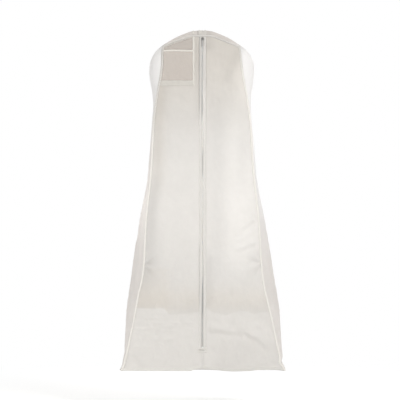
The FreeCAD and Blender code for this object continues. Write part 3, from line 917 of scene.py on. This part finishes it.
def hemTone(face, t):
    # the right half of the front hem lies in the bag's own shadow
    level = 240 - (8 * smooth(((2 * t - 1) * hem["half"] + 0.03) / 0.06) if face < 0 else 0)
    return greys(level, level - 1, level - 4)


for face, word in frontBack:
    clothPiece(f"{word}HemBinding", 280, 8, lambda u, v: hemPoint(face, u, mix(-0.3, pi, v)), (0.85, 0.012),
               seamTape, binding["thickness"], tone=lambda u, v: hemTone(face, u), turned=face > 0)
    sewAlong(f"{word}HemStitches", lambda t: hemPoint(face, t, 2.3, 0.0004), 900, Vector((0, face, 0)))

# the rolled and overstitched edge of the hanger opening
seamStep = stations[1][0]
ringStep = (stations[1][0] + stations[1][2]) / 2


def topSurface(x, y):
    # height of the shoulder gusset over a point near the opening
    s = x / ringStep or 1e-6
    radius, half = gussetArc(s)[2:]
    return gussetPoint(s, 0.5 + asin(y / radius) / half / 2).z


def ringPoint(u, v):
    turn, roll = 2 * pi * u, 2 * pi * v
    middle = (ring["hole"] + ring["outer"]) / 2
    r = middle + (ring["outer"] - ring["hole"]) / 2 * cos(roll)
    x, y = r * cos(turn), r * sin(turn)
    z = topSurface(middle * cos(turn), middle * sin(turn)) + ring["rise"]
    return Vector((x, y, z + ring["height"] / 2 * sin(roll)))


ringPiece = clothPiece("hangerOpeningBinding", 64, 14, ringPoint, (0.1, 0.03), seamTape,
                       tone=lambda u, v: (0.92, 0.91, 0.9), closeRound=True)
bm = bmesh.new()
for i in range(64):
    u = i / 64
    points = [ringPoint(u, v) for v in (0.02, 0.16, 0.3, 0.44)]
    for a, b in zip(points, points[1:]):
        ahead = (b - a).normalized()
        side = Vector((-sin(2 * pi * u), cos(2 * pi * u), 0))
        up = side.cross(ahead).normalized()
        out = (a + b) / 2 + up * 0.0002 * (1 if up.z > 0 else -1)
        addStitch(bm, out, side, ahead, up, (0.00055, (b - a).length * 0.62, 0.0004))
newPiece("hangerOpeningStitches", bm, (sewingThread, "seam_tape"))
print("bindings made")


# zip
tape = {"top": -0.04, "low": -1.703, "inner": 0.0029, "outer": 0.0185, "lip": 0.0016, "lipStart": 0.0066}
coil = {"top": -0.0426, "low": -1.6968, "turns": 1000, "wire": 0.00034, "x": 0.00145, "half": 0.0019,
        "cord": 0.0009, "out": 0.00225, "rise": 0.0013}
# Levels of the zip tape beside the coil, down the zip, left and right: painted shade and light.
channelLevel = {
    -1: lookUp([
        (0, 222), (0.25, 214), (0.44, 208), (0.51, 228), (0.7, 240), (0.95, 242), (1.18, 248), (1.32, 248),
        (1.4, 238), (1.48, 224), (1.58, 220), (1.8, 212)]),
    1: lookUp([
        (0, 222), (0.25, 230), (0.34, 243), (0.52, 240), (0.6, 230), (0.8, 240), (1.1, 243), (1.22, 236),
        (1.3, 226), (1.48, 222), (1.56, 234), (1.8, 230)]),
}
coilShade = lookUp([
    (0.22, 0.8), (0.33, 0.84), (0.43, 0.76), (0.5, 1.08), (0.62, 1.08), (0.68, 0.8), (0.76, 0.82),
    (0.82, 1.08), (1, 1.06), (1.1, 0.96), (1.2, 0.97), (1.31, 0.98), (1.37, 0.7), (1.42, 0.6), (1.5, 0.6),
    (1.56, 0.8)])
# How dark the painted shadow line beside the left tape is, down the zip.
sideShadowLine = lookUp([
    (0, 1), (0.42, 0.9), (0.52, 0.1), (1.12, 0.1), (1.18, 0.65), (1.44, 0.7), (1.53, 0.1), (1.8, 0)])


def tapeProfile(x):
    # flat by the coil, a soft lip, then flat again
    d = abs(x)
    lip = tape["lip"] * smooth((d - tape["lipStart"]) / 0.0026) * (1 - ramp(d, 0.0118, 0.0055))
    return 0.0019 + lip


def tapeSpot(side, u, v):
    # height, and distance from the zip's middle
    across = u if side > 0 else 1 - u
    return mix(tape["low"], tape["top"], v), mix(tape["inner"], tape["outer"], across)


def tapePoint(side, u, v):
    z, d = tapeSpot(side, u, v)
    loose = smooth((d - tape["lipStart"]) / 0.004)
    wander = 0.0012 * loose * waver(z * 6, side * 4, 1)
    pucker = 0.00035 * loose * sin(z * 520 + side)
    return frontPoint(side * (d + abs(wander)), z, tapeProfile(d) + pucker)


def tapeTone(side, u, v):
    z, d = tapeSpot(side, u, v)
    outside = ramp(d, 0.007, 0.0022)
    lipLevel = 236 if side > 0 else 231
    # painted shade on the lips, darker towards the top
    level = mix(channelLevel[side](-z), lipLevel - 13 * ramp(z, -0.5, 0.3), outside)
    # beside the left tape: a painted shadow line, and painted light where the line is faint
    if side < 0:
        level += (12 - 38 * sideShadowLine(-z)) * ramp(d, 0.0122, 0.002)
    return greys(level + 1.6, level, level - 2.4)


def coilTone(u, v):
    shade = coilShade(-mix(coil["low"], coil["top"], v))
    return (shade, shade * 0.985, shade * 0.96)


def coilPoint(side, u, v):
    turn = v * coil["turns"] * 2 * pi + (pi if side > 0 else 0)
    a = 2 * pi * u
    reach = coil["wire"] * cos(a)
    x = side * (coil["x"] + (coil["half"] + reach) * cos(turn))
    z = mix(coil["low"], coil["top"], v) + coil["wire"] * sin(a)
    return offPlane(-1, x, z, coil["out"] + (coil["rise"] + reach) * sin(turn))


def cordPoint(side, u, v):
    # the soft cord that the coil is wound on
    a = 2 * pi * u
    z = mix(coil["low"] + 0.0002, coil["top"] - 0.0002, v)
    x = side * (coil["x"] + coil["cord"] * cos(a))
    return offPlane(-1, x, z, coil["out"] + coil["cord"] * sin(a))


for side, word in leftRight:
    clothPiece(f"zipTape{word}", 16, 640, lambda u, v: tapePoint(side, u, v), (0.0156, 1.663), zipWeave,
               0.0005, tone=lambda u, v: tapeTone(side, u, v))
for side, word in leftRight:
    clothPiece(f"zipCoil{word}", 4, coil["turns"] * 7, lambda u, v: coilPoint(side, u, v), (0.003, 8),
               nylon, tone=coilTone, closeRound=True)
for side, word in leftRight:
    clothPiece(f"zipCord{word}", 8, 60, lambda u, v: cordPoint(side, u, v), (0.006, 1.65), nylon,
               tone=coilTone, closeRound=True)


def bevelledBox(bm, low, high, radius):
    made = bmesh.ops.create_cube(bm, size=1)["verts"]
    low, high = Vector(low), Vector(high)
    bmesh.ops.scale(bm, vec=high - low, verts=made)
    bmesh.ops.translate(bm, vec=(low + high) / 2, verts=made)
    edges = list({e for v in made for e in v.link_edges})
    bmesh.ops.bevel(bm, geom=edges, offset=radius, segments=3, profile=0.5, affect="EDGES", material=-1)


def ontoFront(bm, z):
    # from x across, z up the zip, y towards the cloth, to the front plane at height z
    bmesh.ops.transform(bm, matrix=Matrix.Translation((0, -halfDepth(z), z)) @ tilt, verts=bm.verts)


bm = bmesh.new()
for side in (-1, 1):
    inner, outer = sorted((side * 0.0009, side * 0.0036))
    bevelledBox(bm, (inner, -0.0041, -0.0013), (outer, -0.0005, 0.0013), 0.0004)
ontoFront(bm, -0.0413)
newPiece("zipTopStops", bm, stopMetal)

bm = bmesh.new()
bevelledBox(bm, (-0.0037, -0.0043, -0.003), (0.0037, -0.0004, 0.003), 0.0008)
ontoFront(bm, -1.7)
newPiece("zipBottomStop", bm, nylon)

# the patch from the zip's top end up to the hanger opening, and the one at its foot
patch = {"half": 0.0215, "footHalf": 0.0245, "footTop": -1.701, "footLow": -1.729, "thickness": 0.0007}


def topPatchPoint(u, v):
    s = mix(-patch["half"], patch["half"], u) / seamStep or 1e-6
    return gussetPoint(s, mix(0.012, 0.285, v), 0.001)


def footPatchSpot(u, v):
    return mix(-patch["footHalf"], patch["footHalf"], u), mix(patch["footLow"], patch["footTop"], v)


def footPatchPoint(u, v):
    x, z = footPatchSpot(u, v)
    fold = 0.0024 * bell(z + 1.7085 - 0.08 * x, 0.0035) - 0.0022 * bell(z + 1.716 + 0.14 * x, 0.003)
    fold += 0.0008 * waver(x * 60, z * 60, 4)
    edgeDown = min(smooth((0.5 - abs(u - 0.5)) / 0.06), smooth((0.5 - abs(v - 0.5)) / 0.08))
    return frontPoint(x, z, 0.0016 + 0.0012 * edgeDown + fold * edgeDown)


def footPatchTone(u, v):
    # painted shade, darkest in the crease that crosses below the zip's end
    x, z = footPatchSpot(u, v)
    level = 232 - 22 * bell(z + 1.716 + 0.14 * x, 0.0042) * smooth((0.018 - abs(x + 0.005)) / 0.009)
    return greys(level, level - 3, level - 8)


# the top patch is darker than the foot patch of the same cloth: painted shade on the top
clothPiece("zipTopPatch", 28, 20, topPatchPoint, (0.043, 0.034), patchCloth, patch["thickness"],
           tone=evenTone(208, 204, 198))
clothPiece("zipBottomPatch", 32, 22, footPatchPoint, (0.049, 0.028), patchCloth, patch["thickness"],
           tone=footPatchTone)


def outline(place, inset):
    corners = [(inset, inset), (1 - inset, inset), (1 - inset, 1 - inset), (inset, 1 - inset), (inset, inset)]
    points, steps = [], 60
    for (u0, v0), (u1, v1) in zip(corners, corners[1:]):
        points += [place(mix(u0, u1, i / steps), mix(v0, v1, i / steps)) for i in range(steps)]
    return points + [place(inset, inset)]


front = Vector((0, -1, 0))
upFront = Vector((0, -0.5, 0.8)).normalized()
offPatch = Vector((0, -0.0003, 0.0004))
stitchRow("zipFootStitches", [(p + front * 0.0005, front) for p in outline(footPatchPoint, 0.1)])
stitchRow("zipTopPatchStitches", [(p + offPatch, upFront) for p in outline(topPatchPoint, 0.09)])
for side, word in leftRight:
    u = 0.9 if side > 0 else 0.1
    sewAlong(f"zipTapeStitches{word}", lambda t: tapePoint(side, u, t) + front * 0.0005, 1400, front,
             "zip_tape")


def centreSeamPoint(u, v):
    # the closed seam below the zip: two edges sewn together and pressed flat
    x = mix(-0.0085, 0.0085, u)
    z = mix(hemZ + 0.006, patch["footLow"] + 0.004, v)
    ridge = 0.002 * sin(pi * u) ** 0.6 - 0.0012 * bell(x, 0.0012) if 0 < u < 1 else 0
    return frontPoint(x, z, 0.0012 + ridge)


clothPiece("centreSeamRidge", 20, 60, centreSeamPoint, (0.009, 0.1), panelCloth, 0.0005,
           tone=evenTone(231, 228, 224))
print("zip made")


# window and card pocket
pocket = {"right": -0.052, "sideWidth": 0.0095, "mouthZ": -0.114, "lowZ": -0.2745, "baseHeight": 0.028,
          "seamGap": 0.0088, "gape": 0.003, "stand": 0.0021, "tape": 0.0005, "vinyl": 0.0003}


def leftEdge(z):
    return pocket["seamGap"] - seamHalf(z)


def windowGrid(u, v):
    right = window["right"] + 0.003
    x = mix(leftEdge(mix(window["low"], window["cornerZ"], v)), right, u)
    z = mix(window["low"] - 0.003, shoulderZ(-x) - 0.0085, v)
    return mix(leftEdge(z), right, u), z


def vinylWave(x, z, size):
    inside = ramp(x, -0.222, 0.02) * smooth((-0.052 - x) / 0.02)
    return size * inside * (waver(x * 17, z * 15, 51) + 0.4 * waver(x * 44, z * 30, 5))


def windowPoint(u, v):
    x, z = windowGrid(u, v)
    return frontPoint(x, z, 0.0002 + vinylWave(x, z, 0.001))


windowPane = clothPiece("windowPane", 60, 80, windowPoint, (0.166, 0.225), vinyl, pocket["vinyl"])


def pocketGrid(u, v):
    z = mix(pocket["lowZ"], pocket["mouthZ"], v)
    return mix(leftEdge(z), pocket["right"], u), z


def pocketPoint(u, v):
    x, z = pocketGrid(u, v)
    middle = sin(pi * u)
    gape = pocket["gape"] * middle * ramp(v, 0.55, 0.45)
    return frontPoint(x, z, pocket["stand"] + gape + vinylWave(x, z, 0.0012) * middle)


pocketPane = clothPiece("pocketPane", 60, 60, pocketPoint, (0.166, 0.156), vinyl, pocket["vinyl"])


def mouthPoint(u, v):
    # folded over the pocket's top edge
    angle = mix(-0.35, pi + 0.35, v)
    x, z = pocketGrid(u, 1)
    lift = pocket["stand"] + pocket["gape"] * sin(pi * u) + 0.0011 * sin(angle)
    return frontPoint(x, z + 0.0034 * cos(angle), lift + 0.0002)


mouthBinding = clothPiece("pocketMouthBinding", 70, 8, mouthPoint, (0.15, 0.01), seamTape,
                          pocket["tape"], tone=evenTone(240, 238, 233), turned=True)


def sideBindingX(u):
    return mix(pocket["right"] - 0.0005, pocket["right"] + pocket["sideWidth"], u)


def sideBindingPoint(u, v):
    x = sideBindingX(u)
    z = mix(pocket["lowZ"] - pocket["baseHeight"], shoulderZ(-x) - 0.0075, v)
    crown = 0.0016 * sin(pi * u) ** 0.7 if 0 < u < 1 else 0
    return frontPoint(x, z, 0.0016 + crown + 0.0002 * sin(z * 640))


sideBinding = clothPiece("pocketSideBinding", 10, 160, sideBindingPoint, (0.0095, 0.257), seamTape,
                         pocket["tape"], tone=evenTone(234, 232, 227))


def basePoint(u, v):
    z = mix(pocket["lowZ"] - pocket["baseHeight"], pocket["lowZ"] + 0.002, v)
    x = mix(leftEdge(z), pocket["right"], u)
    crown = 0.0008 * smooth(v / 0.08) * ramp(-v, -1, 0.08)
    return frontPoint(x, z, 0.0017 + crown + 0.0005 * waver(x * 40, z * 70, 6))


def overShoulderPoint(u, v):
    # the same tape where it crosses the shoulder seam and runs up the gusset
    return gussetPoint(sideBindingX(u) / seamStep, mix(0.03, 0.47, v), 0.0006 + 0.0012 * sin(pi * u))


# darker than the same tape on the front: painted shade on the top
clothPiece("pocketSideBindingTop", 10, 40, overShoulderPoint, (0.0095, 0.04), seamTape,
           pocket["tape"], tone=evenTone(220, 217, 212))
baseBinding = clothPiece("pocketBaseBinding", 70, 16, basePoint, (0.17, 0.03), patchCloth, pocket["tape"],
                         tone=evenTone(217, 213, 206))


def straightRow(name, place, start, end, steps=160):
    sewAlong(name, lambda t: place(*[mix(a, b, t) for a, b in zip(start, end)]) + front * 0.0004, steps, front)


straightRow("pocketSideStitchesInner", sideBindingPoint, (0.18, 0.01), (0.18, 0.99), 300)
straightRow("pocketSideStitchesOuter", sideBindingPoint, (0.84, 0.01), (0.84, 0.99), 300)
straightRow("pocketBaseStitchesTop", basePoint, (0.02, 0.9), (0.98, 0.9))
straightRow("pocketBaseStitchesLow", basePoint, (0.02, 0.12), (0.98, 0.12))
straightRow("pocketMouthStitches", mouthPoint, (0.02, 0.74), (0.98, 0.74))
print("window and pocket made")


# slider and pull tab: the frame's own shapes with a metal finish
for nodeName, material in (("zip_slider", sliderMetal), ("zip_pull_tab", tabMetal)):
    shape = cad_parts[nodeName]
    for slot in shape.material_slots:
        slot.material = material


# camera, light and floor
view = {"distance": 10.0, "x": -0.0134, "z": -0.9142, "frame": 2.147, "plane": 0.06}
camera = addObject("camera", bpy.data.cameras.new("camera"))
camera.location = (view["x"], -view["distance"], view["z"])
camera.rotation_euler = (pi / 2, 0, 0)
camera.data.sensor_width = 36.0
camera.data.lens = 36.0 * (view["distance"] - view["plane"]) / view["frame"]
camera.data.clip_end = 200
scene.camera = camera

white = (1.0, 1.0, 1.0, 1.0)
world = bpy.data.worlds.new("studio")
scene.world = world
world.use_nodes = True
wt = world.node_tree
seen = wt.nodes["Background"]
seen.inputs[0].default_value = white
seen.inputs[1].default_value = 1.0
lighting = node(wt, "Background", {0: (1.0, 0.995, 0.985, 1), 1: 0.6})
forCamera = node(wt, "LightPath").outputs["Is Camera Ray"]
choice = node(wt, "MixShader", {0: forCamera, 1: lighting.outputs[0], 2: seen.outputs[0]})
wt.links.new(choice.outputs[0], wt.nodes["World Output"].inputs[0])

lamps = [
    {"name": "keyLight", "place": (2.7, -3.3, 1.5), "aim": (0, 0, -0.95), "size": 1.7, "power": 112},
    {"name": "fillLight", "place": (-3.6, -2.5, -0.7), "aim": (0, 0, -0.95), "size": 2.2, "power": 62},
    {"name": "topLight", "place": (0.0, 0.3, 2.6), "aim": (0, 0, -2), "size": 3.0, "power": 50},
    {"name": "backLight", "place": (0.8, 3.8, 0.2), "aim": (0, 0, -0.9), "size": 2.6, "power": 66},
]
for lamp in lamps:
    data = bpy.data.lights.new(lamp["name"], "AREA")
    data.size = lamp["size"]
    data.energy = lamp["power"]
    obj = addObject(lamp["name"], data)
    obj.location = lamp["place"]
    obj.rotation_euler = (Vector(lamp["aim"]) - Vector(lamp["place"])).to_track_quat("-Z", "Y").to_euler()

# white all round, with the bag's soft shadow in the middle
floorMaterial, ft, floorShader, _ = newMaterial("pale floor", (0.93, 0.93, 0.925), 0.85)
glow = node(ft, "Emission", {0: white, 1: 1.0})
away = node(ft, "VectorMath", {0: objectPlace(ft)}, operation="LENGTH").outputs["Value"]
fade = node(ft, "MapRange", {"Value": away, "From Min": 0.8, "From Max": 2.6}, interpolation_type="SMOOTHSTEP")
floorMix = node(ft, "MixShader", {0: fade.outputs[0], 1: floorShader.outputs[0], 2: glow.outputs[0]})
ft.links.new(floorMix.outputs[0], ft.nodes["Material Output"].inputs["Surface"])
bm = bmesh.new()
bmesh.ops.create_circle(bm, cap_ends=True, segments=64, radius=9.0)
mesh = bpy.data.meshes.new("floor")
bm.to_mesh(mesh)
bm.free()
floor = addObject("floor", mesh)
floor.location = (0, 0, cadLow.z - 0.2)
mesh.materials.append(floorMaterial)
print("camera, light and floor made")
